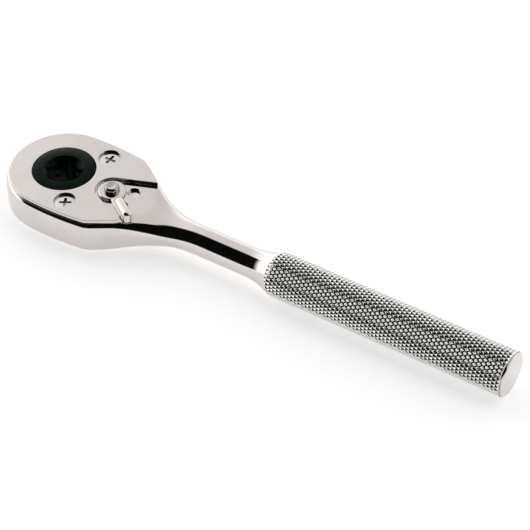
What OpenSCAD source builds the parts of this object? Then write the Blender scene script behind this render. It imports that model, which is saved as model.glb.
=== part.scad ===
// Reversible pear-head ratchet wrench with a female 3/8 inch square drive.
// Millimetres. The origin is on the drive axis at the height of the handle's
// centre line. +X runs along the handle to the end of the grip, +Z along the
// drive axis towards the cover plate. The lever is thrown towards -Y.

/* [Head] */
// Radius of the cover plate's round end, about the drive axis
head_r = 18.05; // [17.9:0.05:18.4]
// How far the forging swells out past the cover plate's edge
head_swell = 1.5; // [1.2:0.05:1.8]
// Height of the cover plate's outer face
cover_top = 5.9; // [5.85:0.05:6.1]
// Thickness of the cover plate
cover_t = 1.4; // [1.3:0.05:1.5]
// Bevel round the cover plate's upper edge
cover_bevel = 0.4; // [0.2:0.05:0.5]
// Depth of the flat underside below the handle's centre line
head_depth = 7.45; // [7.45:0.05:7.8]
// Radius of the forging's lower edge
lower_edge_r = 3.2; // [2.8:0.1:3.4]

/* [Handle] */
// Distance from the drive axis to the end of the grip
reach = 166; // [130:1:200]
// Radius of the shank
shank_r = 5; // [4.8:0.1:5.2]
// Radius of the grip over its knurl
grip_r = 7.45; // [7.1:0.05:7.45]
// Where the flare from the shank to the grip begins
flare_x = 73; // [70:0.5:76]
// Radius of the flare's concave arc
flare_r = 22.9; // [20:0.1:26]
// Length of the bevel at the end of the grip
end_bevel = 0.65; // [0.4:0.05:1]
// Width of the bevel at the end of the grip
end_inset = 0.6; // [0.3:0.05:0.8]

/* [Drive] */
// Across flats of the square socket
socket_af = 9.58; // [9.54:0.01:9.6]
// Turn of the square about the drive axis
socket_turn = -21; // [-45:1:45]
// Radius of the socket's chamfered mouth
mouth_r = 6.65; // [6.4:0.05:6.7]
// Radius of the gear hub that shows in the cover plate
hub_r = 10.62; // [10.4:0.01:10.7]
// Number of gear teeth
teeth = 36; // [36]
// Radius over the gear teeth
gear_tip_r = 12.3; // [12.2:0.05:12.3]
// Depth of a gear tooth
tooth_depth = 0.9; // [0.8:0.05:0.9]

/* [Reversing] */
// Distance from the drive axis to the lever's pivot
pivot_x = 19.3; // [19.2:0.1:19.4]
// Angle of the lever each side of the handle's centre line
throw = 35; // [33:1:35]
// Angle of the detents each side of the handle's centre line
detent_a = 30; // [29:1:31]
// Angle that the pawl rocks each side of its middle
rock = 3; // [3:0.1:3.2]
// Distance from the pivot to the detents
detent_reach = 7.2; // [7:0.1:7.4]
// Length of the lever from its pivot to the tip of its thumb tab
lever_len = 16.6; // [15.5:0.1:17]
// Radius of the selector shaft
shaft_r = 3; // [2.9:0.05:3]

/* [Fasteners] */
// Distance of the cover screws along the handle
screw_x = 9.6; // [9.5:0.1:9.7]
// Distance of each cover screw from the centre line
screw_y = 12.4; // [12.3:0.1:12.6]
// Radius of the sunk screw seats in the cover plate
seat_r = 3.75; // [3.6:0.05:3.9]
// Radius of the screw heads
screw_head_r = 3.4; // [3.2:0.1:3.4]

/* [Hidden] */
$fn = 96;
run = 0.05;                             // running clearance, on the radius
past = 1;                               // how far a cut runs past the face it opens

// Heights in the head
seat_z = cover_top - cover_t;           // flat that the cover plate lies on
crown_z = seat_z + 0.15;                // top of the neck, just above that flat
web_z = 2.5;                            // underside of the web that carries the lever
pocket_z = -4.95;                       // floor of the pockets
bore_z = pocket_z - 1.5;                // bottom of the selector shaft's blind bore

// Forging
side_r = 100;                           // long arc along each side of the head
shoulder_r = 6;                         // corner of the pear
end_r = 15.1;                           // end of the pear, about the pivot
neck_r = 44;                            // concave arc from the head to the shank
swell_top = 0.15;                       // the head has its full width from here
swell_low = lower_edge_r - head_depth;  // down to here
window_r = 5.6;                         // window in the cover plate, about the pivot
window_a = 21.4;                        // half-angle at which the window opens
detent_r = 2.1;
detent_depth = 1.2;
saddle = 0.45;                          // dip in the top of the neck

// Screws
screw_top = cover_top - 0.8;
screw_r = 1.5;
screw_len = 8;
screw_cone = 1.5;                       // height of the cone under the head
recess_w = 0.9;                         // width of an arm of the cross recess
recess_l = 4;
recess_depth = 0.8;
screw_turn = [0, 31];                   // how each cross recess stands

// Gear
gear_low = -4.4;
gear_high = 3.7;
gear_room = gear_tip_r + 0.5;           // radius of the gear's pocket
hub_low_r = 9.6;
hub_low_z = 0.05 - head_depth;
washer_t = 0.5;
washer_r = 12;
low_washer_r = 11;                      // stays inside the pawl's teeth
groove_r = 1.5;                         // dimples in the flats, for a drive plug's ball
groove_depth = 0.5;

// Pawl
pawl_low = pocket_z + 0.1;
pawl_high = 1.75;
pawl_r = 5.4;
pawl_side = [[pivot_x, pawl_r], [12.6, 9.4], [9.2, 8.9], [7, 6.5]];
room_r = 6;
room_side = [[pivot_x, 6.2], [13.4, 10.6], [8.8, 10], [6, 8]];
mesh_gap = 0.08;                        // between pawl teeth and gear teeth
relief_r = gear_tip_r + 0.6;            // the pawl's middle stands clear of the gear
relief_a = 25;
cam_r = shaft_r + 0.75;                 // recess that the plunger's tip runs in
cam_a = 55;

// Selector
clip_z = 1.85;
clip_t = 0.5;
clip_r = 4;
groove_in = 0.6;                        // depth of the clip's groove
square_af = 4.2;                        // square that carries the lever
dome_r = 2.6;
dome_h = 1.5;
dome_sphere = (pow(dome_r, 2) + pow(dome_h, 2)) / (2 * dome_h);
plunger_z = -1.5;
plunger_r = 1;
plunger_tip = shaft_r + 0.6;            // reach of the plunger's tip from the pivot
plunger_back = 1.2;
plunger_hole = 1.5;                     // the plunger's hole runs this far past the pivot

// Lever
lever_low = seat_z + 0.1;
hub_top = cover_top + 0.1;
lever_hub_r = 5.2;
arm_r = 2.6;                            // half-width of the arm at the detent
tab_top = cover_top + 2.8;
tab_w = 2.8;
tab_in = 6.2;                           // where the thumb tab starts, from the pivot
tab_lift = 0.4;                         // the tab's tip clears the neck by this
arm_end = 14;                           // the flat arm stops short of the neck
ball_r = 1.3;
ball_room = 4.4;                        // height of the detent's blind hole

// Springs
wire_r = 0.16;
wire_sides = 6;
coil_steps = 12;

pivot = [pivot_x, 0];

function dir(a) = [cos(a), sin(a)];
function arc(c, r, from, to, n) = [for (i = [0 : n]) c + r * dir(from + (to - from) * i / n)];
function flipped(p) = [for (i = [len(p) - 1 : -1 : 0]) [p[i].x, -p[i].y]];
function ease(t) = let (u = min(max(t, 0), 1)) u * u * (3 - 2 * u);
function mix(p, q, m) = p * (1 - m) + q * m;

// The pear outline is four arcs, each tangent to the next: the round end about the
// drive axis, the long side, the shoulder, and the handle end about the pivot
side_a = 94.1;
shoulder_a = 82.3;
side_c = -(side_r - head_r) * dir(side_a);
shoulder_c = side_c + (side_r - shoulder_r) * dir(shoulder_a);
end_a = let (gap = shoulder_c - pivot)
    atan2(gap.y, gap.x) - acos((end_r - shoulder_r) / norm(gap));
// The neck's concave arc touches both the swollen handle end and the shank
neck_rise = shank_r + neck_r;
neck_run = sqrt(pow(end_r + head_swell + neck_r, 2) - pow(neck_rise, 2));
neck_c = [pivot_x + neck_run, neck_rise];
neck_a = atan2(neck_rise, neck_run);

function pear_half(grow) = concat(
    arc([0, 0], head_r + grow, 179, side_a, 20),
    arc(side_c, side_r + grow, side_a - 2, shoulder_a, 5),
    arc(shoulder_c, shoulder_r + grow, shoulder_a - 4, end_a, 6),
    arc(pivot, end_r + grow, end_a - 5, 1, 10));

module pear(grow = 0) polygon(concat(pear_half(grow), flipped(pear_half(grow))));

// Side profile of the head, downwards: [swell past the edge, height]
top_n = 5;
side_profile = concat(
    [for (i = [0 : top_n]) let (a = 90 * i / top_n)
        [head_swell * sin(a), swell_top + (seat_z - swell_top) * cos(a)]],
    [for (q = arc([head_swell - lower_edge_r, swell_low], lower_edge_r, 0, -90, 5)) q]);
side_n = len(side_profile);
flat_n = 6;                             // points across each flat between the edges
loop_n = 2 * (side_n + flat_n);
side_span = 52;                         // the side takes this angle of the round shank, up and down
tip_n = 14;

// Profiles round the tip, from its middle to the side arc, on the +Y side
tip = [for (i = [0 : tip_n - 1]) let (d = dir(180 - i * (180 - side_a) / tip_n))
    [for (q = side_profile) [(head_r + q.x) * d.x, (head_r + q.x) * d.y, q.y]]];

// Plan stations from there to the shank: [point on the edge, outward direction]
function plan(c, r, from, to, first, n, side) =
    [for (i = [first : n]) let (d = dir(from + (to - from) * i / n)) [c + r * d, side * d]];
stations = concat(
    plan(side_c, side_r, side_a, shoulder_a, 0, 5, 1),
    plan(shoulder_c, shoulder_r, shoulder_a, end_a, 1, 5, 1),
    plan(neck_c, neck_r + head_swell, 180 + neck_a, 270, 0, 12, -1));

// One cross-section as a loop: +Y side downwards, underside, -Y side upwards, top.
// It changes from the head's flat-topped section to the shank's round one.
function section(edge, out) =
    let (m = ease((edge.x - 24) / 22),
         rise = (crown_z - seat_z) * ease((edge.x - 22) / 10),
         foot = edge + side_profile[side_n - 1].x * out,
         side = [for (k = [0 : side_n - 1]) let (q = side_profile[k], p = edge + q.x * out)
             mix([p.x, p.y, q.y + rise * (1 - min(k / top_n, 1))],
                 oval(edge, side_span * (1 - 2 * k / (side_n - 1))), m)])
    concat(side,
        [for (k = [1 : flat_n]) let (t = k / (flat_n + 1))
            mix([foot.x, foot.y * (1 - 2 * t), -head_depth],
                oval(edge, -side_span - (180 - 2 * side_span) * t), m)],
        [for (k = [side_n - 1 : -1 : 0]) [side[k].x, -side[k].y, side[k].z]],
        [for (k = [1 : flat_n]) let (t = k / (flat_n + 1))
            mix([edge.x, -edge.y * (1 - 2 * t), seat_z + rise],
                oval(edge, 180 - side_span - (180 - 2 * side_span) * t), m)]);

// Point of the neck's oval section at angle a from +Y
function oval(edge, a) =
    let (top = shank_r + (crown_z - shank_r) * ease((53 - edge.x) / 18)
             - saddle * exp(-pow((edge.x - 44) / 8, 2)),
         low = shank_r + (head_depth - shank_r) * ease((50 - edge.x) / 16))
    [edge.x, (edge.y + head_swell) * cos(a), (a > 0 ? top : low) * sin(a)];

module forging_skin() {
    loops = [for (s = stations) section(s[0], s[1])];
    round = concat([for (i = [tip_n - 1 : -1 : 1]) [for (p = tip[i]) [p.x, -p.y, p.z]]], tip);
    last = len(round);
    first = last * side_n;              // index of the first loop's first point
    // Point k down profile i, where -1 and last are the first loop's two sides
    function rim(i, k) = i < 0 ? first + 2 * side_n + flat_n - 1 - k
        : i < last ? i * side_n + k : first + k;
    tip_faces = [for (i = [-1 : last - 1], k = [0 : side_n - 2])
        [rim(i, k), rim(i, k + 1), rim(i + 1, k + 1), rim(i + 1, k)]];
    loop_faces = [for (i = [0 : len(loops) - 2], k = [0 : loop_n - 1])
        let (a = first + i * loop_n, n = (k + 1) % loop_n)
        [a + k, a + n, a + loop_n + n, a + loop_n + k]];
    // The flat caps are fans from the tip, so no triangle lies along a straight edge
    mid = tip_n - 1;
    top = concat([for (i = [mid : last]) rim(i, 0)],
        [for (k = [flat_n - 1 : -1 : 0]) first + 2 * side_n + flat_n + k],
        [for (i = [-1 : mid - 1]) rim(i, 0)]);
    under = concat([for (i = [mid : -1 : -1]) rim(i, side_n - 1)],
        [for (k = [flat_n - 1 : -1 : 0]) first + side_n + k],
        [for (i = [last : -1 : mid + 1]) rim(i, side_n - 1)]);
    caps = [for (c = [top, under], k = [1 : len(c) - 2]) [c[0], c[k], c[k + 1]]];
    end = [for (k = [0 : loop_n - 1]) first + (len(loops) - 1) * loop_n + k];
    polyhedron([for (p = concat(round, loops)) each p],
        concat(tip_faces, loop_faces, caps, [end]), convexity = 6);
}

// Shank, flare and grip, turned about the handle's centre line
module turned_handle() {
    start = neck_c.x - 0.2;
    full = flare_r - (grip_r - shank_r);
    full_a = acos(full / flare_r);
    rotate([0, 90, 0]) rotate_extrude()
        polygon(concat([[0, start], [shank_r + 0.01, start]],
            [for (i = [0 : 8]) let (a = full_a * i / 8)
                [shank_r + flare_r * (1 - cos(a)), flare_x + flare_r * sin(a)]],
            [[grip_r, reach - end_bevel], [grip_r - end_inset, reach], [0, reach]]));
}

module at_pivot(turn = 0) translate(pivot) rotate(turn) children();
module about_pivot(turn) at_pivot(turn) translate(-pivot) children();
module slab(low, high) translate([0, 0, low]) linear_extrude(high - low) children();
module drum(r, low, high) translate([0, 0, low]) cylinder(r = r, h = high - low);
module each_screw() for (i = [0, 1]) translate([screw_x, screw_y * (1 - 2 * i), 0])
    rotate(screw_turn[i]) children();

module forged_body() color("gainsboro") difference() {
    union() {
        forging_skin();
        turned_handle();
    }
    slab(seat_z, cover_top) pear(0.15);
    drum(gear_room, pocket_z, seat_z + past);
    drum(hub_low_r + run, -head_depth - past, pocket_z + past);
    slab(pocket_z, web_z) {
        polygon(concat(room_side, flipped(room_side)));
        translate(pivot) circle(room_r);
    }
    at_pivot() drum(shaft_r + run, bore_z, seat_z + past);
    for (turn = [-detent_a, detent_a]) at_pivot(turn) translate([detent_reach, 0])
        drum(detent_r, seat_z - detent_depth, seat_z + past);
    each_screw() screw_solid(run, 0.8);
}

module cover_plate() color("silver") difference() {
    hull() {
        slab(seat_z, cover_top - cover_bevel) pear();
        slab(seat_z, cover_top) pear(-cover_bevel);
    }
    drum(hub_r + run, seat_z - past, cover_top + past);
    at_pivot() drum(window_r, seat_z - past, cover_top + past);
    slab(seat_z - past, cover_top + past) polygon(concat([pivot],
        [for (s = [1, -1]) each let (touch = pivot + window_r * [-sin(window_a), s * cos(window_a)])
            s > 0 ? [touch, touch + 30 * [cos(window_a), s * sin(window_a)]]
                : [touch + 30 * [cos(window_a), s * sin(window_a)], touch]]));
    each_screw() {
        drum(seat_r, screw_top, cover_top + past);
        screw_solid(run, 0);
    }
}

// A countersunk screw without its recess, grown by gap for the hole that takes it
module screw_solid(gap, extra) {
    translate([0, 0, screw_top - screw_cone])
        cylinder(r1 = screw_r + gap, r2 = screw_head_r + gap, h = screw_cone);
    drum(screw_r + gap, screw_top - screw_len - extra, screw_top - screw_cone + 0.01);
}

module cover_screws() color("silver") each_screw() difference() {
    screw_solid(0, 0);
    for (turn = [0, 90]) rotate(turn) translate([-recess_l / 2, -recess_w / 2, screw_top - recess_depth])
        cube([recess_l, recess_w, recess_depth + past]);
}

function toothed(grow, widen) = [for (i = [0 : teeth - 1]) let (a = 360 / teeth * (i + 0.5))
    each [(gear_tip_r - tooth_depth + grow) * dir(a - 4 - widen), (gear_tip_r + grow) * dir(a - 1.2 - widen),
          (gear_tip_r + grow) * dir(a + 1.2 + widen), (gear_tip_r - tooth_depth + grow) * dir(a + 4 + widen)]];

module drive_gear() color([0.06, 0.08, 0.07]) difference() {
    union() {
        slab(gear_low, gear_high) polygon(toothed(0, 0));
        drum(hub_low_r, hub_low_z, gear_low + 0.1);
        drum(hub_r, gear_high - 0.1, cover_top - 0.2);
        translate([0, 0, cover_top - 0.2]) cylinder(r1 = hub_r, r2 = hub_r - 0.2, h = 0.2);
    }
    rotate(socket_turn) {
        translate([-socket_af / 2, -socket_af / 2, hub_low_z - past])
            cube([socket_af, socket_af, cover_top - hub_low_z + 2 * past]);
        for (turn = [0 : 90 : 270]) rotate(turn)
            translate([socket_af / 2 + groove_depth - groove_r, 0, 0]) sphere(groove_r);
    }
    mouth(cover_top, 1);
    mouth(hub_low_z, -1);
}

// 45 degree chamfer at a mouth of the socket
module mouth(z, side) translate([0, 0, z]) scale([1, 1, side])
    translate([0, 0, -2]) cylinder(r1 = mouth_r - 2, r2 = mouth_r + past, h = 2 + past);

module lower_thrust_washer() color("dimgray")
    ring(low_washer_r, hub_low_r + 0.2, pocket_z, pocket_z + washer_t);

module wave_washer() color("dimgray")
    ring(washer_r, hub_r + 0.2, seat_z - 0.05 - washer_t, seat_z - 0.05);

module ring(r_out, r_in, low, high) difference() {
    drum(r_out, low, high);
    drum(r_in, low - past, high + past);
}

module pawl() color("dimgray") about_pivot(rock) difference() {
    slab(pawl_low, pawl_high) difference() {
        union() {
            translate(pivot) circle(pawl_r);
            polygon(concat(pawl_side, flipped(pawl_side)));
        }
        for (turn = [-rock, rock]) about_pivot(turn) polygon(toothed(mesh_gap, 0.4));
        intersection() {
            circle(relief_r);
            polygon([[0, 0], 20 * dir(-relief_a), 20 * dir(relief_a)]);
        }
    }
    at_pivot() drum(shaft_r + run, pawl_low - past, pawl_high + past);
    at_pivot() intersection() {
        drum(cam_r, plunger_z - 1.4, plunger_z + 1.4);
        slab(pocket_z, web_z) polygon([[0, 0], 9 * dir(180 - cam_a), 9 * dir(180 + cam_a)]);
    }
}

// What turns with the lever is drawn with its arm along +X, then thrown to its rest
module on_lever() at_pivot(-throw) children();
module along_plunger() translate([0, 0, plunger_z]) rotate([0, -90, 0]) children();

module selector_shaft() color("gainsboro") on_lever() difference() {
    union() {
        drum(shaft_r, bore_z + 0.1, seat_z - 0.05);
        translate([-square_af / 2, -square_af / 2, seat_z - 0.1])
            cube([square_af, square_af, hub_top - seat_z + 0.1]);
        intersection() {
            drum(dome_r, hub_top, hub_top + dome_h);
            translate([0, 0, hub_top + dome_h - dome_sphere]) sphere(dome_sphere);
        }
    }
    difference() {
        drum(shaft_r + past, clip_z, clip_z + clip_t + run);
        drum(shaft_r - groove_in, clip_z - past, clip_z + clip_t + past);
    }
    along_plunger() drum(plunger_r + run, -plunger_hole, shaft_r + past);
}

module shaft_clip() color("dimgray") on_lever() difference() {
    ring(clip_r, shaft_r - groove_in, clip_z, clip_z + clip_t);
    translate([0, -1.6, clip_z - past]) cube([clip_r + past, 3.2, clip_t + 2 * past]);
}

module pawl_plunger() color("dimgray") on_lever() along_plunger() {
    drum(plunger_r, plunger_back, plunger_tip - plunger_r);
    translate([0, 0, plunger_tip - plunger_r]) sphere(plunger_r);
}

module pawl_spring() color("dimgray") on_lever() along_plunger()
    coil(plunger_r - wire_r - 0.1, -plunger_hole + wire_r, plunger_back - wire_r, 5);

module reversing_lever() color("gainsboro") on_lever() difference() {
    union() {
        drum(lever_hub_r, lever_low, hub_top);
        slab(lever_low, hub_top) polygon([
            lever_hub_r * dir(70), [detent_reach, arm_r], [arm_end, tab_w / 2],
            [arm_end, -tab_w / 2], [detent_reach, -arm_r], lever_hub_r * dir(-70)]);
        hull() {
            translate([tab_in + tab_w / 2, 0, 0]) tab_end(lever_low, tab_top - 0.8);
            translate([lever_len - tab_w / 2, 0, 0]) tab_end(lever_low + tab_lift, tab_top);
        }
    }
    translate([-square_af / 2, -square_af / 2, lever_low - past])
        cube([square_af, square_af, cover_top + 2 * past]);
    translate([detent_reach, 0, 0]) drum(ball_r + run, lever_low - past, lever_low + ball_room * 0.7);
}

// One rounded end of the thumb tab
module tab_end(low, top) {
    drum(tab_w / 2, low, top - tab_w / 4, $fn = 32);
    translate([0, 0, top - tab_w / 4]) cylinder(r1 = tab_w / 2, r2 = tab_w / 4, h = tab_w / 4, $fn = 32);
}

module detent_ball() color("silver") on_lever() translate([detent_reach, 0, seat_z + 0.03 + ball_r])
    sphere(ball_r);

module detent_spring() color("dimgray") on_lever() translate([detent_reach, 0, 0])
    coil(ball_r - wire_r - 0.3, seat_z + 2 * ball_r - 0.1, lever_low + ball_room * 0.7 - wire_r, 2);

// Coil spring of n turns with its wire's centre on radius r, from low to high
module coil(r, low, high, n) {
    rings = n * coil_steps;
    points = [for (i = [0 : rings]) let (a = 360 * i / coil_steps, z = low + (high - low) * i / rings)
        for (j = [0 : wire_sides - 1]) let (b = 360 * j / wire_sides, q = r + wire_r * cos(b))
            [q * cos(a), q * sin(a), z + wire_r * sin(b)]];
    faces = [for (i = [0 : rings - 1], j = [0 : wire_sides - 1])
        let (p = i * wire_sides, k = (j + 1) % wire_sides)
        [p + j, p + k, p + wire_sides + k, p + wire_sides + j]];
    polyhedron(points, concat(faces, [[for (j = [wire_sides - 1 : -1 : 0]) j],
        [for (j = [0 : wire_sides - 1]) rings * wire_sides + j]]), convexity = 8);
}

forged_body();
cover_plate();
cover_screws();
drive_gear();
lower_thrust_washer();
wave_washer();
pawl();
pawl_plunger();
pawl_spring();
selector_shaft();
shaft_clip();
reversing_lever();
detent_ball();
detent_spring();
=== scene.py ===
from math import acos, asin, atan2, ceil, cos, degrees, exp, pi, radians, sin, sqrt

import bmesh
import bpy
from mathutils import Matrix, Vector
from mathutils.geometry import tessellate_polygon


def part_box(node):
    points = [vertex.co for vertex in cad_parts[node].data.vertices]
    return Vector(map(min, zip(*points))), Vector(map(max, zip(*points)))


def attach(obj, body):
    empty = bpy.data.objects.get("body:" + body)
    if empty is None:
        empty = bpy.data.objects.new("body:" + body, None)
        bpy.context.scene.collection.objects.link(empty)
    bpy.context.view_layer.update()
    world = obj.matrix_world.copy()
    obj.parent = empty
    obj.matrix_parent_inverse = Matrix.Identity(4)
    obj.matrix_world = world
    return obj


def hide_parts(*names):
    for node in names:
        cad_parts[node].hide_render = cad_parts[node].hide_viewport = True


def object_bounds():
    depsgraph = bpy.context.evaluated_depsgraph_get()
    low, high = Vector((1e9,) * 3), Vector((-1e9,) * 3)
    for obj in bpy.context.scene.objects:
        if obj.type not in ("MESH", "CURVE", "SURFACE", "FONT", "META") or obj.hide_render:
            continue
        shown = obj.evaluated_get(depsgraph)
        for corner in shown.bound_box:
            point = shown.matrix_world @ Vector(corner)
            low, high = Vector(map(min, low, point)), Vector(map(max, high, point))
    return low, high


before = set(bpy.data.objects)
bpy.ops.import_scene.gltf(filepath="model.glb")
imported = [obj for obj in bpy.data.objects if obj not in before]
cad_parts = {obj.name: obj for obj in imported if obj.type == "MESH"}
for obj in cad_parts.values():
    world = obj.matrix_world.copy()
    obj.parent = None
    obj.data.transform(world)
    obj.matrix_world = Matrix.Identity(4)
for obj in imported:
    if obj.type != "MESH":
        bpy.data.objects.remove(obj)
cad_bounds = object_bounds()

# A reversible pear-head ratchet wrench. Lengths are millimetres in the CAD frame:
# origin on the drive axis, +X along the handle, +Z out of the cover plate.
MM = 0.001


def box_mm(node):
    low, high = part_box(node)
    return low / MM, high / MM


plate_low, plate_high = box_mm("cover_plate")
body_low, body_high = box_mm("forged_body")
screws_high = box_mm("cover_screws")[1]
gear_low = box_mm("drive_gear")[0]
shaft_low, shaft_high = box_mm("selector_shaft")
lever_low, lever_high = box_mm("reversing_lever")
wave_low, wave_high = box_mm("wave_washer")
thrust_low, thrust_high = box_mm("lower_thrust_washer")

# Head
HEAD_R = -plate_low.x
SWELL = -body_low.x - HEAD_R
COVER_TOP = plate_high.z
SEAT_Z = plate_low.z
DEPTH = -body_low.z
CROWN_Z = SEAT_Z + 0.15
SWELL_TOP = 0.15
POCKET_Z = -4.95
BORE_Z = POCKET_Z - 1.5
WEB_Z = 2.5
LOWER_EDGE_R = 3.2
SIDE_R = 100
SHOULDER_R = 6
END_R = 15.1
NECK_R = 44
SADDLE = 0.45
PIVOT = (19.3, 0)
WINDOW_R = 5.6
WINDOW_A = 21.4
SEAT_R = 3.75

# Handle
REACH = body_high.x
SHANK_R = 5
GRIP_R = 7.45
FLARE_X = 73
FLARE_R = 22.9
BEVEL_X = REACH - 0.65
BEVEL_R = GRIP_R - 0.6

# Knurl: two families of helical grooves that cross in diamonds
KNURL_STARTS = 33
KNURL_PITCH = 2.65
KNURL_DEPTH = 0.5
KNURL_FROM = 81.7
KNURL_TO = REACH - 0.75
KNURL_CELLS = 6
KNURL_LAND = 0.9

# Drive
SOCKET_AF = 9.58
SOCKET_TURN = -21
MOUTH_R = 6.65
HUB_R = 10.62
HUB_LOW_R = 9.6
TEETH = 36
TIP_R = 12.3
TOOTH_DEPTH = 0.9
GEAR_FACES = (-4.4, 3.7)
GEAR_ROOM = TIP_R + 0.5

# Reversing
THROW = 35
DETENT_A = 30
SHAFT_R = 3
DETENT_REACH = 7.2
DETENT_R = 2.1
DETENT_DEPTH = 1.2
LEVER_LEN = 16.6
LEVER_HUB_R = 4.75
HUB_TOP = COVER_TOP - 0.3
ARM_END = 14
TAB_R = 1.55
TAB_IN = 6.2
CLIP_Z = 1.85
CLIP_T = 0.5
PLUNGER_Z = -1.5
PLUNGER_R = 1.0
PLUNGER_ENDS = (1.2, SHAFT_R + 0.6)
PLUNGER_COIL = (-1.34, 1.04)
PLUNGER_COIL_R = 0.74
BALL_COIL = (SEAT_Z + 2.5, lever_low.z + 2.92)
BALL_COIL_R = 0.84
WIRE_R = 0.16
SQUARE_HALF = 2.1

# Screws
SCREW_XY = (9.6, 12.4)
SCREW_R = 1.5
SCREW_HEAD_R = 3.4
SCREW_TOP = screws_high.z
SCREW_CONE = 1.5
SCREW_GAP = 0.4
SCREW_LEN = 8
SCREW_TURNS = (0, 31)

RUN = 0.05


# ---------------------------------------------------------------- camera and light

CAMERA_LENS = 137.88
CAMERA_PLACE = (334.91, -383.86, 443.10)
CAMERA_AIM = (77.61, 1.25, 0)
CAMERA_ROLL = -1.44


def add_camera():
    """A long lens, from in front and above, that looks along the handle to the head."""
    data = bpy.data.cameras.new("camera")
    data.lens = CAMERA_LENS
    data.clip_start = 0.01
    camera = bpy.data.objects.new("camera", data)
    bpy.context.scene.collection.objects.link(camera)
    place, aim = Vector(CAMERA_PLACE) * MM, Vector(CAMERA_AIM) * MM
    roll = Matrix.Rotation(radians(CAMERA_ROLL), 3, "Z")
    camera.location = place
    camera.rotation_mode = "QUATERNION"
    camera.rotation_quaternion = ((aim - place).to_track_quat("-Z", "Y").to_matrix() @ roll).to_quaternion()
    bpy.context.scene.camera = camera


class Graph:
    """Short calls for building a node tree."""

    def __init__(self, tree):
        self.tree = tree
        tree.nodes.clear()

    def add(self, kind, **values):
        node = self.tree.nodes.new(kind)
        for key, value in values.items():
            setattr(node, key, value)
        return node

    def link(self, source, target):
        self.tree.links.new(source, target)

    def feed(self, socket, value):
        if isinstance(value, bpy.types.NodeSocket):
            self.link(value, socket)
        else:
            socket.default_value = value

    def math(self, operation, a, b=0.0):
        node = self.add("ShaderNodeMath", operation=operation)
        self.feed(node.inputs[0], a)
        self.feed(node.inputs[1], b)
        return node.outputs[0]

    def product(self, *factors):
        value = factors[0]
        for factor in factors[1:]:
            value = self.math("MULTIPLY", value, factor)
        return value

    def ramp(self, value, low, high, out_low=0.0, out_high=1.0):
        """value, eased from low..high to out_low..out_high"""
        node = self.add("ShaderNodeMapRange", interpolation_type="SMOOTHSTEP")
        for socket, v in zip(node.inputs, (value, low, high, out_low, out_high)):
            self.feed(socket, v)
        return node.outputs[0]

    def noise(self, vector, scale, detail=2.0, roughness=0.5):
        node = self.add("ShaderNodeTexNoise")
        self.feed(node.inputs["Vector"], vector)
        node.inputs["Scale"].default_value = scale
        node.inputs["Detail"].default_value = detail
        node.inputs["Roughness"].default_value = roughness
        return node.outputs["Fac"]

    def stretch(self, vector, scale):
        node = self.add("ShaderNodeMapping")
        self.feed(node.inputs["Vector"], vector)
        node.inputs["Scale"].default_value = scale
        return node.outputs["Vector"]

    def blend(self, factor, a, b):
        node = self.add("ShaderNodeMix", data_type="RGBA")
        self.feed(node.inputs["Factor"], factor)
        self.feed(node.inputs["A"], a)
        self.feed(node.inputs["B"], b)
        return node.outputs["Result"]


def studio_world():
    """White studio for chrome: one dark card in front, brighter to the left and low behind."""
    world = bpy.data.worlds.new("studio")
    world.use_nodes = True
    bpy.context.scene.world = world
    g = Graph(world.node_tree)
    coords = g.add("ShaderNodeTexCoord")
    axes = g.add("ShaderNodeSeparateXYZ")
    g.link(coords.outputs["Generated"], axes.inputs[0])
    x, y, z = axes.outputs
    # Azimuth from -Y towards +X, in degrees
    around = g.math("MULTIPLY", g.math("ARCTAN2", x, g.math("MULTIPLY", y, -1.0)), 180 / pi)
    # The card ends at the left, at the right, just over the table and just past overhead
    wide = g.math("MULTIPLY", g.ramp(x, -0.80, -0.67), g.ramp(around, 100.0, 125.0, 1.0, 0.0))
    tall = g.math("MULTIPLY", g.ramp(z, 0.03, 0.06), g.ramp(y, -0.02, 0.10, 1.0, 0.0))
    card = g.math("MULTIPLY", wide, tall)
    left = g.ramp(x, -0.35, -0.9, 0.0, 0.75)
    low_back = g.math("MULTIPLY", g.ramp(y, 0.2, 0.9), g.ramp(z, 0.6, 0.1))
    glow = g.math("ADD", g.math("ADD", left, 0.86), g.math("MULTIPLY", low_back, 0.5))
    level = g.math("MULTIPLY", glow, g.math("SUBTRACT", 1.0, g.math("MULTIPLY", card, 0.995)))
    # The camera itself sees plain white
    paths = g.add("ShaderNodeLightPath")
    shown = g.math("MAXIMUM", level, paths.outputs["Is Camera Ray"])
    background = g.add("ShaderNodeBackground")
    background.inputs["Color"].default_value = (1.0, 0.995, 0.99, 1)
    g.link(shown, background.inputs["Strength"])
    output = g.add("ShaderNodeOutputWorld")
    g.link(background.outputs[0], output.inputs["Surface"])
    bpy.context.scene.view_settings.view_transform = "Standard"
    bpy.context.scene.view_settings.look = "None"


def light_table():
    """A backlit white table: the floor, level with the underside of the head."""
    half = 3.0
    data = bpy.data.meshes.new("floor")
    level = cad_bounds[0][2]
    corners = [(x * half, y * half, level) for x, y in ((-1, -1), (1, -1), (1, 1), (-1, 1))]
    data.from_pydata(corners, [], [(0, 1, 2, 3)])
    floor = bpy.data.objects.new("floor", data)
    bpy.context.scene.collection.objects.link(floor)
    material = bpy.data.materials.new("light_table")
    material.use_nodes = True
    g = Graph(material.node_tree)
    shader = g.add("ShaderNodeBsdfPrincipled")
    shader.inputs["Base Color"].default_value = (0.85, 0.85, 0.85, 1)
    shader.inputs["Roughness"].default_value = 0.6
    shader.inputs["Specular IOR Level"].default_value = 0.0
    shader.inputs["Emission Color"].default_value = (1, 1, 1, 1)
    shader.inputs["Emission Strength"].default_value = 0.6
    g.link(shader.outputs[0], g.add("ShaderNodeOutputMaterial").inputs["Surface"])
    data.materials.append(material)


# ---------------------------------------------------------------- materials

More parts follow.
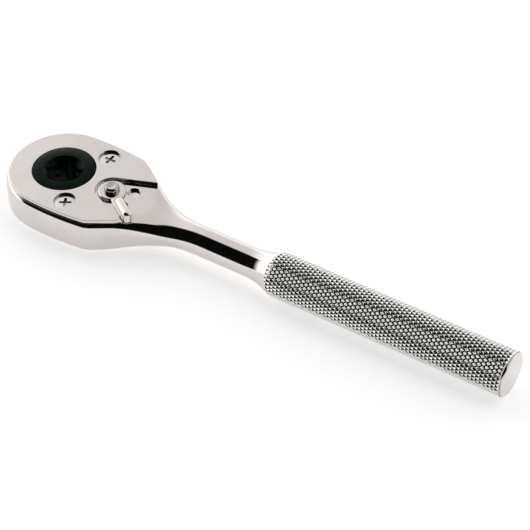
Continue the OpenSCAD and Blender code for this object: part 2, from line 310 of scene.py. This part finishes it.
# Feature scales of the metals' noise, per metre
PATCHES = 90
SMUDGES = 700
SWIRLS = 160
GRAIN = 5200
# The next scale sets the patches of the painted shade in the knurl's valleys
SHADE_PATCHES = 350


def metal(name, tint, dull, rough, grain, swirl=0.0, stretch=(1, 1, 1), knurl_shade=False):
    """Metal whose polish, tint and fine grain vary over the surface.

    tint and dull are the two colours it varies between, rough is its (least, most)
    roughness, grain the strength of its fine bump and swirl that of its broad one."""
    material = bpy.data.materials.new(name)
    material.use_nodes = True
    g = Graph(material.node_tree)
    place = g.add("ShaderNodeTexCoord").outputs["Object"]
    shader = g.add("ShaderNodeBsdfPrincipled")
    shader.inputs["Metallic"].default_value = 1.0
    patches = g.noise(place, PATCHES, 3)
    smudges = g.noise(g.stretch(place, stretch), SMUDGES, 4, 0.6)
    colour = g.blend(g.ramp(patches, 0.35, 0.7), (*tint, 1), (*dull, 1))
    mottle = g.math("ADD", g.math("MULTIPLY", patches, 0.5), g.math("MULTIPLY", smudges, 0.5))
    roughness = g.ramp(mottle, 0.35, 0.65, *rough)
    # The knurl's valleys get painted shade
    if knurl_shade:
        colour, roughness = knurl_painted_shade(g, place, colour, roughness)
    g.feed(shader.inputs["Base Color"], colour)
    g.feed(shader.inputs["Roughness"], roughness)
    height = g.math("ADD", g.math("MULTIPLY", g.noise(place, SWIRLS, 1), swirl),
                    g.math("MULTIPLY", g.noise(g.stretch(place, stretch), GRAIN, 3, 0.7), grain))
    bump = g.add("ShaderNodeBump")
    bump.inputs["Strength"].default_value = 1.0
    bump.inputs["Distance"].default_value = MM
    g.link(height, bump.inputs["Height"])
    g.link(bump.outputs[0], shader.inputs["Normal"])
    g.link(shader.outputs[0], g.add("ShaderNodeOutputMaterial").inputs["Surface"])
    return material


GRIP_TINT = (0.68, 0.70, 0.675, 1)
# Colour of the painted shade in the knurl's valleys
KNURL_SHADE_COLOUR = (0.20, 0.225, 0.205, 1)


def knurl_painted_shade(g, place, colour, roughness):
    """The grip's greyer plating, with painted shade darkening the valleys between the points of its knurl,
    in patches, and rougher there.
    """
    axes = g.add("ShaderNodeSeparateXYZ")
    g.link(place, axes.inputs[0])
    x, y, z = axes.outputs
    radius = g.math("SQRT", g.math("ADD", g.math("MULTIPLY", y, y), g.math("MULTIPLY", z, z)))
    valley, crest = GRIP_R - 0.9 * KNURL_DEPTH, GRIP_R - 0.25 * KNURL_DEPTH
    deep = g.ramp(radius, valley * MM, crest * MM, 1.0, 0.0)
    on_grip = g.math("MULTIPLY", g.ramp(x, (KNURL_FROM + 2.4) * MM, (KNURL_FROM + 3.2) * MM),
                     g.ramp(x, (KNURL_TO - 0.3) * MM, KNURL_TO * MM, 1.0, 0.0))
    # Painted shade: strongest deep in the knurl's valleys, in patches
    valley_shade = g.product(deep, on_grip, g.ramp(g.noise(place, SHADE_PATCHES, 3), 0.3, 0.7, 0.3, 0.6))
    knurled = g.blend(g.math("MULTIPLY", on_grip, 0.8), colour, GRIP_TINT)
    return (g.blend(valley_shade, knurled, KNURL_SHADE_COLOUR),
            g.math("ADD", roughness, g.math("MULTIPLY", valley_shade, 0.25)))


CHROME = (0.69, 0.655, 0.638)
CHROME_DULL = (0.66, 0.62, 0.60)


STEEL = (0.56, 0.55, 0.53)
STEEL_DULL = (0.47, 0.46, 0.45)


def finishes():
    """One material for each of the record's slots: tint, dull tint, roughness, grain, swirl."""
    turned_face = (1, 1, 8)
    rows = {
        # The forging's last entry adds painted shade in its knurl's valleys
        "chrome_forging": (CHROME, CHROME_DULL, (0.03, 0.07), 0.0001, 0.004, (1, 1, 1), True),
        "chrome_plate": (CHROME, CHROME_DULL, (0.10, 0.16), 0.0003, 0.002),
        "screw_steel": ((0.74, 0.73, 0.72), (0.66, 0.65, 0.63), (0.12, 0.22), 0.0004),
        "black_oxide": ((0.0028, 0.0068, 0.0046), (0.004, 0.0085, 0.006), (0.24, 0.36), 0.0006),
        "plain_steel": (STEEL, STEEL_DULL, (0.25, 0.38), 0.0006, 0.0, turned_face),
        "hardened_steel": ((0.30, 0.28, 0.26), (0.22, 0.20, 0.19), (0.28, 0.42), 0.0006),
        "spring_steel": ((0.42, 0.41, 0.40), (0.33, 0.32, 0.30), (0.20, 0.32), 0.0004),
        "chrome_shaft": ((0.50, 0.49, 0.48), (0.40, 0.39, 0.38), (0.05, 0.10), 0.0002, 0.001),
        "chrome_lever": (CHROME, CHROME_DULL, (0.04, 0.08), 0.0001, 0.001),
        "bearing_steel": ((0.66, 0.65, 0.64), (0.60, 0.59, 0.58), (0.06, 0.10), 0.0001),
    }
    return {name: metal(name, *row) for name, row in rows.items()}


# ---------------------------------------------------------------- mesh building

def cosd(angle):
    return cos(radians(angle))


def sind(angle):
    return sin(radians(angle))


def ease(t):
    u = min(max(t, 0.0), 1.0)
    return u * u * (3 - 2 * u)


def point(centre, radius, angle):
    return (centre[0] + radius * cosd(angle), centre[1] + radius * sind(angle))


def arc(centre, radius, start, end, count):
    return [point(centre, radius, start + (end - start) * i / count) for i in range(count + 1)]


def mirrored(points):
    return [(x, -y) for x, y in reversed(points)]


def mix(a, b, m):
    return tuple(p * (1 - m) + q * m for p, q in zip(a, b))


def build(name, verts, faces, sharp=30.0):
    """A closed mesh object from millimetre points, smooth except where it turns by sharp degrees."""
    data = bpy.data.meshes.new(name)
    data.from_pydata([Vector(v) * MM for v in verts], [], faces)
    bm = bmesh.new()
    bm.from_mesh(data)
    bmesh.ops.recalc_face_normals(bm, faces=bm.faces)
    bm.to_mesh(data)
    bm.free()
    obj = bpy.data.objects.new(name, data)
    bpy.context.scene.collection.objects.link(obj)
    soften(obj, sharp)
    return obj


def soften(obj, sharp=30.0):
    obj.data.shade_smooth()
    obj.data.set_sharp_from_angle(angle=radians(sharp))


def join_solids(obj, others, operation):
    """Adds or cuts the other solids, which are used up."""
    for other in others:
        step = obj.modifiers.new(operation, "BOOLEAN")
        step.operation = operation
        step.solver = "MANIFOLD"
        step.object = other
        shape = bpy.data.meshes.new_from_object(obj.evaluated_get(bpy.context.evaluated_depsgraph_get()))
        obj.modifiers.clear()
        old = obj.data
        obj.data = shape
        bpy.data.meshes.remove(old)
        bpy.data.meshes.remove(other.data)
    soften(obj)
    return obj


def turned(name, profile, count=96, at=(0, 0), closed=False):
    """A solid of revolution about a vertical axis: profile is [radius, height], upwards on the outside."""
    verts, faces, rings = [], [], []
    for r, z in profile:
        if r <= 0:
            rings.append([len(verts)])
            verts.append((at[0], at[1], z))
        else:
            rings.append(list(range(len(verts), len(verts) + count)))
            verts += [(*point(at, r, 360 * i / count), z) for i in range(count)]
    pairs = list(zip(rings, rings[1:]))
    if closed:
        pairs.append((rings[-1], rings[0]))
    for a, b in pairs:
        for i in range(count):
            j = (i + 1) % count
            if len(a) == 1:
                faces.append((a[0], b[j], b[i]))
            elif len(b) == 1:
                faces.append((a[i], a[j], b[0]))
            else:
                faces.append((a[i], a[j], b[j], b[i]))
    return build(name, verts, faces)


def walled(name, walls):
    """A solid between closed walls. Each wall is (outline, steps): outline(w) gives its
    points for an inset w, and steps are its [inset, height], upwards. The first wall is the
    outside and runs anticlockwise, the others are holes and run clockwise."""
    verts, faces, lows, highs = [], [], [], []
    for outline, steps in walls:
        rings = []
        for w, z in steps:
            loop = outline(w)
            rings.append(list(range(len(verts), len(verts) + len(loop))))
            verts += [(x, y, z) for x, y in loop]
        for a, b in zip(rings, rings[1:]):
            faces += [(a[i], a[(i + 1) % len(a)], b[(i + 1) % len(a)], b[i]) for i in range(len(a))]
        lows.append(rings[0])
        highs.append(rings[-1])
    for loops in (lows, highs):
        index = [i for loop in loops for i in loop]
        faces += [tuple(index[k] for k in tri)
                  for tri in tessellate_polygon([[Vector(verts[i]) for i in loop] for loop in loops])]
    return build(name, verts, faces)


def round_over(radius, top, count=6, inset=0.0, hold=0.06):
    """Steps of a wall's rounded upper edge, with one more on the flat to keep it flat."""
    angles = [90 * i / count for i in range(count + 1)]
    steps = [(inset + radius * (1 - cosd(a)), top - radius * (1 - sind(a))) for a in angles]
    return steps + [(inset + radius + hold, top)]


def round_under(radius, bottom, count=6, inset=0.0, hold=0.06):
    """Steps of a wall's rounded lower edge, upwards."""
    return [(w, 2 * bottom - z) for w, z in reversed(round_over(radius, bottom, count, inset, hold))]


def ring_wall(centre, radius, count=96, hole=True):
    """Outline of a round wall: a hole grows with its inset, an outside shrinks."""
    def outline(w):
        loop = arc(centre, radius + (w if hole else -w), 0, 360, count)[:-1]
        return loop[::-1] if hole else loop
    return outline


def drum(name, radius, low, high, at=(0, 0), count=96):
    return turned(name, [(0, low), (radius, low), (radius, high), (0, high)], count, at)


def spun(obj, angle, at=(0, 0)):
    """Turns a mesh about a vertical axis, in its own points."""
    c, s = cosd(angle), sind(angle)
    for v in obj.data.vertices:
        x, y = v.co.x - at[0] * MM, v.co.y - at[1] * MM
        v.co.x, v.co.y = at[0] * MM + c * x - s * y, at[1] * MM + s * x + c * y
    return obj


def fit(obj, material, body, *nodes):
    """Gives a finished piece its material and its body, and lets it stand for its CAD nodes."""
    obj.data.materials.clear()
    obj.data.materials.append(FINISH[material])
    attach(obj, body)
    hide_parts(*nodes)
    return obj


# ---------------------------------------------------------------- head outline

SIDE_A = 94.1
SHOULDER_A = 82.3
SIDE_C = point((0, 0), -(SIDE_R - HEAD_R), SIDE_A)
SHOULDER_C = point(SIDE_C, SIDE_R - SHOULDER_R, SHOULDER_A)
GAP = (SHOULDER_C[0] - PIVOT[0], SHOULDER_C[1] - PIVOT[1])
END_A = degrees(atan2(GAP[1], GAP[0]) - acos((END_R - SHOULDER_R) / sqrt(GAP[0] ** 2 + GAP[1] ** 2)))
NECK_RISE = SHANK_R + NECK_R
NECK_RUN = sqrt((END_R + SWELL + NECK_R) ** 2 - NECK_RISE ** 2)
NECK_C = (PIVOT[0] + NECK_RUN, NECK_RISE)
NECK_A = degrees(atan2(NECK_RISE, NECK_RUN))


def pear_half(inset, start):
    """Upper half of the pear outline, anticlockwise from an angle about the pivot to the tip."""
    return (arc(PIVOT, END_R - inset, start, END_A, 16)
            + arc(SHOULDER_C, SHOULDER_R - inset, END_A, SHOULDER_A, 12)[1:]
            + arc(SIDE_C, SIDE_R - inset, SHOULDER_A, SIDE_A, 10)[1:]
            + arc((0, 0), HEAD_R - inset, SIDE_A, 180, 56)[1:])


def pear(inset):
    half = pear_half(inset, 0)
    return half + mirrored(half)[1:-1]


def plate_outline(inset):
    """The pear with the lever's window open to its handle end."""
    window = WINDOW_R + inset
    start = 90 + WINDOW_A - degrees(acos(window / (END_R - inset)))
    half = pear_half(inset, start)
    wall = arc(PIVOT, window, 180, 90 + WINDOW_A, 28)
    return half + mirrored(half)[1:] + mirrored(wall) + wall[1:]


# ---------------------------------------------------------------- forging

RING_N = KNURL_STARTS * KNURL_CELLS
SIDE_N = 58
FLAT_N = RING_N // 2 - SIDE_N
TOP_N = SIDE_N // 2 - 1
SIDE_SPAN = 180 * (SIDE_N - 1) / RING_N


def side_profile():
    """The head's side, downwards, as [swell past the plate's edge, height]."""
    upper = [(SWELL * sind(90 * i / TOP_N), SWELL_TOP + (SEAT_Z - SWELL_TOP) * cosd(90 * i / TOP_N))
             for i in range(TOP_N + 1)]
    lower = arc((SWELL - LOWER_EDGE_R, LOWER_EDGE_R - DEPTH), LOWER_EDGE_R, 0, -90, SIDE_N - TOP_N - 2)
    return upper + lower


def oval(x, half_width, angle):
    top = SHANK_R + (CROWN_Z - SHANK_R) * ease((53 - x) / 18) - SADDLE * exp(-((x - 44) / 8) ** 2)
    low = SHANK_R + (DEPTH - SHANK_R) * ease((50 - x) / 16)
    height = top if angle > 0 else low
    return (x, half_width * cosd(angle), height * sind(angle))


def section(profile, edge, out):
    """One cross-section loop, from the head's flat-topped form to the shank's round one:
    +Y side downwards, underside, -Y side upwards, top."""
    blend = ease((edge[0] - 24) / 22)
    rise = (CROWN_Z - SEAT_Z) * ease((edge[0] - 22) / 10)
    foot = profile[-1][0] * out[1] + edge[1]
    step = 360 / RING_N
    side = []
    for k, (swell, z) in enumerate(profile):
        own = (edge[0] + swell * out[0], edge[1] + swell * out[1], z + rise * (1 - min(k / TOP_N, 1)))
        side.append(mix(own, oval(edge[0], edge[1] + SWELL, SIDE_SPAN - step * k), blend))
    under, top = [], []
    for k in range(1, FLAT_N + 1):
        t = k / (FLAT_N + 1)
        under.append(mix((edge[0] + profile[-1][0] * out[0], foot * (1 - 2 * t), -DEPTH),
                         oval(edge[0], edge[1] + SWELL, -SIDE_SPAN - step * k), blend))
        top.append(mix((edge[0], -edge[1] * (1 - 2 * t), SEAT_Z + rise),
                       oval(edge[0], edge[1] + SWELL, 180 - SIDE_SPAN - step * k), blend))
    return side + under + [(x, -y, z) for x, y, z in reversed(side)] + top


def handle_radius(x):
    """Radius of the turned handle, before it is knurled."""
    full = FLARE_R - (GRIP_R - SHANK_R)
    along = min(max(x - FLARE_X, 0), sqrt(FLARE_R ** 2 - full ** 2))
    flare = SHANK_R + FLARE_R - sqrt(FLARE_R ** 2 - along ** 2)
    bevel = GRIP_R + (BEVEL_R - GRIP_R) * (x - BEVEL_X) / (REACH - BEVEL_X)
    return min(flare, bevel)


def knurl_cut(i, j, x):
    """Depth of the knurl at point i of ring j."""
    def off_groove(n):
        m = n % KNURL_CELLS
        return min(m, KNURL_CELLS - m) / (KNURL_CELLS / 2)
    height = min(off_groove(i + j), off_groove(i - j), KNURL_LAND) / KNURL_LAND
    reach = ease((x - KNURL_FROM) / 1.6) * ease((KNURL_TO - x) / 0.7)
    return KNURL_DEPTH * (1 - height) * reach


def handle_rings():
    """Stations along the handle as (x, radius, knurl row or None)."""
    step = KNURL_PITCH / KNURL_CELLS
    plain = [NECK_C[0] + (FLARE_X - NECK_C[0]) * i / 10 for i in range(1, 11)]
    flare = [FLARE_X + (KNURL_FROM - FLARE_X) * i / 16 for i in range(1, 16)]
    rows = ceil((KNURL_TO - KNURL_FROM) / step)
    rings = [(x, handle_radius(x), None) for x in plain + flare]
    rings += [(KNURL_FROM + j * step, handle_radius(KNURL_FROM + j * step), j) for j in range(rows + 1)]
    edge_r = 0.1
    rings += [(x, handle_radius(x), None) for x in (BEVEL_X + 0.02, REACH - 0.35, REACH - edge_r)]
    rings += [(REACH - edge_r * (1 - sind(a)), BEVEL_R - edge_r * (1 - cosd(a)), None)
              for a in (22.5, 45, 67.5, 90)]
    return rings + [(REACH, BEVEL_R - edge_r - 0.08, None)]


def forging_skin():
    """The whole outside of the forging as one closed mesh."""
    profile = side_profile()
    tip_n = 48
    verts, faces = [], []
    for i in range(-(tip_n - 1), tip_n):
        angle = 180 - i * (180 - SIDE_A) / tip_n
        verts += [(*point((0, 0), HEAD_R + swell, angle), z) for swell, z in profile]
    last = 2 * tip_n - 1
    first = last * SIDE_N

    def plan(centre, radius, start, end, skip, count, way):
        out = []
        for i in range(skip, count + 1):
            angle = start + (end - start) * i / count
            out.append((point(centre, radius, angle), point((0, 0), way, angle)))
        return out

    stations = (plan(SIDE_C, SIDE_R, SIDE_A, SHOULDER_A, 0, 16, 1)
                + plan(SHOULDER_C, SHOULDER_R, SHOULDER_A, END_A, 1, 12, 1)
                + plan(NECK_C, NECK_R + SWELL, 180 + NECK_A, 270, 0, 44, -1))
    loops = [section(profile, edge, out) for edge, out in stations]
    rows = [None] * len(loops)
    for x, r, row in handle_rings():
        loop = []
        for k in range(RING_N):
            angle = SIDE_SPAN - 360 / RING_N * k
            radius = r - (knurl_cut(k, row, x) if row is not None else 0)
            loop.append((x, *point((0, 0), radius, angle)))
        loops.append(loop)
        rows.append(row)
    for loop in loops:
        verts += loop

    def rim(i, k):
        if i < 0:
            return first + 2 * SIDE_N + FLAT_N - 1 - k
        return i * SIDE_N + k if i < last else first + k

    for i in range(-1, last):
        for k in range(SIDE_N - 1):
            faces.append((rim(i, k), rim(i + 1, k), rim(i + 1, k + 1), rim(i, k + 1)))
    for i in range(len(loops) - 1):
        a = first + i * RING_N
        for k in range(RING_N):
            n = (k + 1) % RING_N
            quad = (a + k, a + RING_N + k, a + RING_N + n, a + n)
            row = rows[i] if rows[i + 1] is not None else None
            if row is None:
                faces.append(quad)
            elif (k + row + 1) % KNURL_CELLS == 0 or (k - row) % KNURL_CELLS != 0:
                faces += [(quad[0], quad[1], quad[3]), (quad[1], quad[2], quad[3])]
            else:
                faces += [(quad[0], quad[1], quad[2]), (quad[0], quad[2], quad[3])]
    top = [rim(i, 0) for i in range(-1, last + 1)]
    top += [first + 2 * SIDE_N + FLAT_N + k for k in range(FLAT_N - 1, -1, -1)]
    under = [rim(i, SIDE_N - 1) for i in range(-1, last + 1)]
    under += [first + SIDE_N + k for k in range(FLAT_N)]
    end = [first + (len(loops) - 1) * RING_N + k for k in range(RING_N)]
    return build("forging", verts, faces + [tuple(top), tuple(under), tuple(end)])


def pawl_room():
    side = [(PIVOT[0], 6.2), (13.4, 10.6), (8.8, 10), (6, 8)]
    loop = mirrored(side) + side
    return walled("room", [(lambda w: [(x, y) for x, y in reversed(loop)], [(0, POCKET_Z), (0, WEB_Z)])])


def screw_cutter(at):
    """Blind hole for a cover screw, a little longer than the screw."""
    foot = SCREW_TOP - SCREW_LEN - 0.8
    return turned("cutter", [(0, foot), (SCREW_R + RUN, foot), (SCREW_R + RUN, SCREW_TOP - SCREW_CONE),
                             (SCREW_HEAD_R + RUN, SCREW_TOP), (0, SCREW_TOP)], 48, at)


def detent_cutter(turn):
    """Drilled detent: drill-point floor, straight wall, chamfered rim."""
    rim, floor = 0.12, SEAT_Z - DETENT_DEPTH
    profile = [(0, floor - 0.35), (DETENT_R - 0.7, floor), (DETENT_R, floor), (DETENT_R, SEAT_Z - rim),
               (DETENT_R + rim + 1, SEAT_Z + 1), (0, SEAT_Z + 1)]
    return turned("cutter", profile, 64, point(PIVOT, DETENT_REACH, turn))


def forging():
    """The forging with its seat, pockets and holes cut out."""
    top = SEAT_Z + 1
    cutters = [
        walled("seat", [(lambda w: pear(w - 0.15), [(0, SEAT_Z), (0, COVER_TOP)])]),
        drum("gear_pocket", GEAR_ROOM, POCKET_Z, top),
        drum("hub_bore", HUB_LOW_R + RUN, -DEPTH - 1, POCKET_Z + 1),
        pawl_room(),
        drum("pawl_pocket", 6, POCKET_Z, WEB_Z, PIVOT),
        drum("shaft_bore", SHAFT_R + RUN, BORE_Z, top, PIVOT),
    ]
    cutters += [detent_cutter(turn) for turn in (-DETENT_A, DETENT_A)]
    cutters += [screw_cutter((SCREW_XY[0], side * SCREW_XY[1])) for side in (1, -1)]
    return join_solids(forging_skin(), cutters, "DIFFERENCE")


# ---------------------------------------------------------------- cover plate and screws

def cover_plate():
    """The plate: its outline, the gear hub's opening and the two sunk screw seats."""
    edge = 0.14
    opening = ring_wall((0, 0), HUB_R + RUN, 128)
    walls = [(plate_outline, round_under(0.08, SEAT_Z, 2) + round_over(edge, COVER_TOP, 7)),
             (opening, round_under(0.05, SEAT_Z, 1) + round_over(edge, COVER_TOP, 4))]
    for side in (1, -1):
        floor = SCREW_TOP - SCREW_GAP
        slope = (SCREW_HEAD_R - SCREW_R) / SCREW_CONE
        hole = SCREW_R + RUN + (SEAT_Z - SCREW_TOP + SCREW_CONE) * slope
        cone = [(0, SEAT_Z), ((floor - SEAT_Z) * slope, floor), (SEAT_R - hole - 0.06, floor)]
        wall = [(SEAT_R - hole, floor)] + round_over(0.1, COVER_TOP, 3, SEAT_R - hole)
        walls.append((ring_wall((SCREW_XY[0], side * SCREW_XY[1]), hole, 64), cone + wall))
    return walled("cover", walls)


def cross_recess(at, turn):
    """Cutter for a tapered cross recess."""
    def outline(t):
        reach, half = 2.1 - 1.1 * t, 0.5 - 0.17 * t
        arm = [(half, -half), (reach, -half), (reach, half)]
        return [point(at, sqrt(x * x + y * y), degrees(atan2(y, x)) + turn + q)
                for q in (0, 90, 180, 270) for x, y in arm]
    return walled("cutter", [(outline, [(1, SCREW_TOP - 1.5), (0, SCREW_TOP), (-0.05, SCREW_TOP + 0.3)])])


def cover_screw(name, side, turn):
    """A countersunk screw with a slightly domed head."""
    at = (SCREW_XY[0], side * SCREW_XY[1])
    foot = SCREW_TOP - SCREW_LEN
    head = [(0, foot), (SCREW_R - 0.3, foot), (SCREW_R, foot + 0.3), (SCREW_R, SCREW_TOP - SCREW_CONE),
            (SCREW_HEAD_R - 0.12, SCREW_TOP - 0.24), (SCREW_HEAD_R, SCREW_TOP - 0.2),
            (SCREW_HEAD_R - 0.05, SCREW_TOP - 0.1), (2.6, SCREW_TOP - 0.03), (0, SCREW_TOP)]
    return join_solids(turned(name, head, 64, at), [cross_recess(at, turn)], "DIFFERENCE")


# ---------------------------------------------------------------- drive gear

def gear():
    """The toothed wheel with its hubs, its square socket, the mouths and the ball dimples."""
    def toothed(w):
        loop = []
        for i in range(TEETH):
            middle = 360 / TEETH * (i + 0.5)
            loop += [point((0, 0), TIP_R - TOOTH_DEPTH, middle - 4), point((0, 0), TIP_R, middle - 1.2),
                     point((0, 0), TIP_R, middle + 1.2), point((0, 0), TIP_R - TOOTH_DEPTH, middle + 4)]
        return loop
    low, high = gear_low.z, COVER_TOP
    wheel = walled("gear", [(toothed, [(0, GEAR_FACES[0]), (0, GEAR_FACES[1])])])
    lower = [(0, low), (HUB_LOW_R - 0.3, low), (HUB_LOW_R, low + 0.3), (HUB_LOW_R, 0)]
    upper = [(HUB_R, 0), (HUB_R, high - 0.25), (HUB_R - 0.07, high - 0.07), (HUB_R - 0.25, high), (0, high)]
    join_solids(wheel, [turned("hub", lower + upper, 160)], "UNION")
    half, corner = SOCKET_AF / 2, 0.55

    def square(w):
        inner = half - corner
        loop = []
        for q, (sx, sy) in enumerate(((1, 1), (-1, 1), (-1, -1), (1, -1))):
            loop += arc((sx * inner, sy * inner), corner, 90 * q, 90 * q + 90, 6)
        return loop
    socket = walled("socket", [(square, [(0, low - 1), (0, high + 1)])])
    narrow, wide = MOUTH_R - 2, MOUTH_R + 1
    mouths = [turned("mouth", [(0, high - 2), (narrow, high - 2), (wide, high + 1), (0, high + 1)], 128),
              turned("mouth", [(0, low - 1), (wide, low - 1), (narrow, low + 2), (0, low + 2)], 128)]
    ball_r, dent = 1.5, 0.5
    for q in range(4):
        ball = [(ball_r * cosd(a), ball_r * sind(a)) for a in range(-90, 91, 15)]
        ball[0], ball[-1] = (0, -ball_r), (0, ball_r)
        mouths.append(turned("dimple", ball, 24, point((0, 0), half + dent - ball_r, 90 * q)))
    for cutter in [socket] + mouths:
        spun(cutter, SOCKET_TURN)
    return join_solids(wheel, [socket] + mouths, "DIFFERENCE")


# ---------------------------------------------------------------- selector

def on_lever(obj):
    """Throws a piece that is drawn with the lever along +X to where the lever rests."""
    return spun(obj, -THROW, PIVOT)


def lever():
    """The thumb lever: hub, arm and raised tab, with its square hole and the ball's hole."""
    top, low = HUB_TOP, lever_low.z
    cx = PIVOT[0]

    def arm(w):
        """Round hub with a narrow arm, keyhole fashion."""
        half, hub_r = TAB_R + 0.35 - w, LEVER_HUB_R - w
        lean = degrees(asin(half / hub_r))
        round_end = arc((cx + ARM_END - half, 0), half, -90, 90, 16)
        return round_end + arc(PIVOT, hub_r, lean, 360 - lean, 72)
    body = walled("lever", [(arm, round_under(0.1, low, 2) + round_over(0.6, top, 8))])

    def tab(w):
        radius = TAB_R - w
        return (arc((cx + LEVER_LEN - TAB_R, 0), radius, -90, 90, 20)
                + arc((cx + TAB_IN + TAB_R, 0), radius, 90, 270, 20))
    crest = lever_high.z
    steps = [(0.25, low + 0.4), (0, low + 0.6)] + round_over(1.3, crest, 12, 0, 0.1)
    ridge = walled("ridge", [(tab, steps)])
    for v in ridge.data.vertices:
        along = (v.co.x / MM - cx - TAB_IN) / (LEVER_LEN - TAB_IN)
        if v.co.z / MM > top:
            v.co.z = (top + (v.co.z / MM - top) * (0.72 + 0.28 * ease(along * 1.3))) * MM
    join_solids(body, [ridge], "UNION")
    square = walled("cutter", [(square_wall(SQUARE_HALF + 0.02), [(0, low - 1), (0, top + 1)])])
    ball_hole = drum("cutter", 1.35, low - 1, low + 3.1, (cx + DETENT_REACH, 0), 32)
    join_solids(body, [square, ball_hole], "DIFFERENCE")
    return on_lever(body)


def square_wall(half):
    def outline(w):
        a = half - w
        return [(PIVOT[0] + x, y) for x, y in ((a, -a), (a, a), (-a, a), (-a, -a))]
    return outline


def shaft():
    """The selector shaft: clip groove, square for the lever, domed end with a dished top."""
    low, shoulder = shaft_low.z, SEAT_Z - 0.05
    crown, seat = shaft_high.z, HUB_TOP
    groove, clip_top = SHAFT_R - 0.6, CLIP_Z + CLIP_T + RUN
    profile = [(0, low), (SHAFT_R - 0.4, low), (SHAFT_R, low + 0.4), (SHAFT_R, CLIP_Z), (groove, CLIP_Z),
               (groove, clip_top), (SHAFT_R, clip_top), (SHAFT_R, shoulder - 0.15),
               (SHAFT_R - 0.15, shoulder), (0, shoulder)]
    core = turned("shaft", profile, 72, PIVOT)
    neck = walled("neck", [(square_wall(SQUARE_HALF), [(0, shoulder - 0.5), (0, seat)])])
    dome_r, top_r, height = 2.65, 1.75, crown - seat
    dome = [(0, seat - 0.3), (dome_r - 0.2, seat - 0.3), (dome_r, seat + 0.05)]
    dome += [(top_r + (dome_r - top_r) * cosd(a), seat + 0.15 + (height - 0.15) * sind(a))
             for a in range(0, 91, 9)]
    dome += [(top_r - 0.15, crown - 0.03), (1.1, crown - 0.2), (0.5, crown - 0.3), (0, crown - 0.33)]
    join_solids(core, [neck, turned("dome", dome, 64, PIVOT)], "UNION")
    hole = pawl_rod("cutter", PLUNGER_R + RUN, -1.5, SHAFT_R + 1, False)
    join_solids(core, [hole], "DIFFERENCE")
    return on_lever(core)


def pawl_rod(name, radius, start, end, nose):
    """A round rod from the pivot towards the drive axis, at the plunger's height."""
    profile = [(0, start), (radius, start)]
    if nose:
        profile += [(radius * cosd(a), end - radius + radius * sind(a)) for a in range(0, 90, 10)]
    else:
        profile += [(radius, end)]
    rod = turned(name, profile + [(0, end)], 40)
    for v in rod.data.vertices:
        x, y, z = v.co
        v.co = (PIVOT[0] * MM - z, y, PLUNGER_Z * MM + x)
    return rod


def wire_coil(name, radius, low, high, turns, place):
    """A round-wire compression spring from low to high along its own axis."""
    sides, per_turn = 12, 32
    count = turns * per_turn
    verts, faces = [], []
    for i in range(count + 1):
        a = 2 * pi * i / per_turn
        z = low + (high - low) * i / count
        for j in range(sides):
            b = 2 * pi * j / sides
            q = radius + WIRE_R * cos(b)
            verts.append(place(q * cos(a), q * sin(a), z + WIRE_R * sin(b)))
    for i in range(count):
        for j in range(sides):
            p, k = i * sides, (j + 1) % sides
            faces.append((p + j, p + k, p + sides + k, p + sides + j))
    faces += [tuple(range(sides)), tuple(count * sides + j for j in range(sides))]
    return build(name, verts, faces)


def wave_ring():
    """The spring washer over the gear, with three waves."""
    flat_r, hole_r = wave_high.x, HUB_R + 0.2
    middle, half, rise = (wave_low.z + wave_high.z) / 2, 0.14, 0.1
    ring = turned("wave", [(flat_r, middle - half), (flat_r, middle + half), (hole_r, middle + half),
                           (hole_r, middle - half)], 144, closed=True)
    for v in ring.data.vertices:
        v.co.z += rise * MM * sin(3 * atan2(v.co.y, v.co.x))
    return ring


def thrust_ring():
    """The flat washer under the gear, with broken edges."""
    low, high, outer, inner = thrust_low.z, thrust_high.z, thrust_high.x, HUB_LOW_R + 0.2
    edge = 0.08
    rim = [(outer - edge, low), (outer, low + edge), (outer, high - edge), (outer - edge, high)]
    bore = [(inner + edge, high), (inner, high - edge), (inner, low + edge), (inner + edge, low)]
    return turned("thrust", rim + bore, 144, closed=True)


def keep_cad(node, material):
    """A CAD node whose shape is right keeps it and gets its finish."""
    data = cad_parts[node].data
    data.materials.clear()
    data.materials.append(FINISH[material])


# ---------------------------------------------------------------- assembly

add_camera()
studio_world()
light_table()
FINISH = finishes()

fit(forging(), "chrome_forging", "handle", "forged_body")
fit(cover_plate(), "chrome_plate", "handle", "cover_plate")
screws = [cover_screw("cover_screw_%d" % i, 1 - 2 * i, turn) for i, turn in enumerate(SCREW_TURNS)]
for screw in screws:
    fit(screw, "screw_steel", "handle", "cover_screws")
fit(gear(), "black_oxide", "gear", "drive_gear")
fit(wave_ring(), "spring_steel", "handle", "wave_washer")
fit(thrust_ring(), "plain_steel", "handle", "lower_thrust_washer")
fit(lever(), "chrome_lever", "selector", "reversing_lever")
fit(shaft(), "chrome_shaft", "selector", "selector_shaft")
plunger = pawl_rod("plunger", PLUNGER_R, *PLUNGER_ENDS, True)
fit(on_lever(plunger), "hardened_steel", "plunger", "pawl_plunger")
plunger_spring = wire_coil("plunger_spring", PLUNGER_COIL_R, *PLUNGER_COIL, 5,
                           lambda x, y, z: (PIVOT[0] - z, y, PLUNGER_Z + x))
fit(on_lever(plunger_spring), "spring_steel", "selector", "pawl_spring")
ball_spring = wire_coil("ball_spring", BALL_COIL_R, *BALL_COIL, 2,
                        lambda x, y, z: (PIVOT[0] + DETENT_REACH + x, y, z))
fit(on_lever(ball_spring), "spring_steel", "selector", "detent_spring")
keep_cad("pawl", "hardened_steel")
keep_cad("shaft_clip", "spring_steel")
keep_cad("detent_ball", "bearing_steel")
